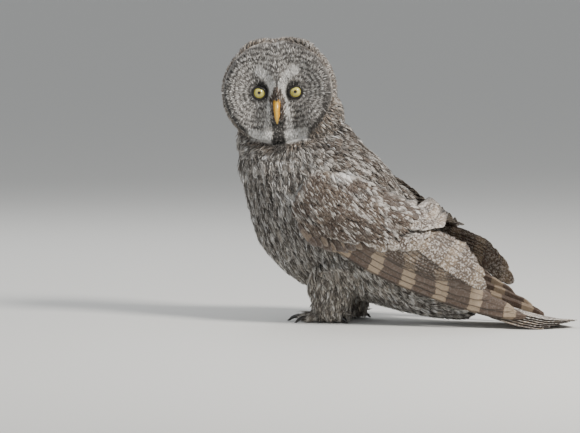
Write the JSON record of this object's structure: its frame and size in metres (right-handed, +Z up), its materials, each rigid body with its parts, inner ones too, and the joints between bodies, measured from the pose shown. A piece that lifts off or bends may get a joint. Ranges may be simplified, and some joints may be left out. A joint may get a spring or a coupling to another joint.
{
  "type": "great grey owl",
  "caption": "Life-size great grey owl standing with folded wings, its tail laid on the floor and its face turned over its side; a still model.",
  "frame": {"origin": "on the floor, under the middle of the whole owl", "axes": "+Z up, +Y towards the tail along the longest extent, +X towards the owl's left side"},
  "size_m": [0.2248, 0.5748, 0.441],
  "materials": {
    "face_feathers": "matte",
    "body_feathers": "matte",
    "covert_feathers": "matte",
    "flight_feathers": "satin",
    "tail_feathers": "satin",
    "leg_feathers": "matte",
    "eye": "gloss",
    "bill": "satin",
    "claw": "satin"
  },
  "bodies": {
    "root": {"head": "face_feathers", "neck": "body_feathers", "torso": "body_feathers", "tail": "tail_feathers", "eye_left": "eye", "eye_right": "eye", "beak_upper": "bill", "beak_lower": "bill", "wing_left": "covert_feathers", "primaries_left": "flight_feathers", "secondaries_left": "flight_feathers", "leg_left": "leg_feathers", "foot_left": "leg_feathers", "claw_left_inner": "claw", "claw_left_middle": "claw", "claw_left_outer": "claw", "claw_left_hind": "claw", "wing_right": "covert_feathers", "primaries_right": "flight_feathers", "secondaries_right": "flight_feathers", "leg_right": "leg_feathers", "foot_right": "leg_feathers", "claw_right_inner": "claw", "claw_right_middle": "claw", "claw_right_outer": "claw", "claw_right_hind": "claw"}
  },
  "joints": []
}
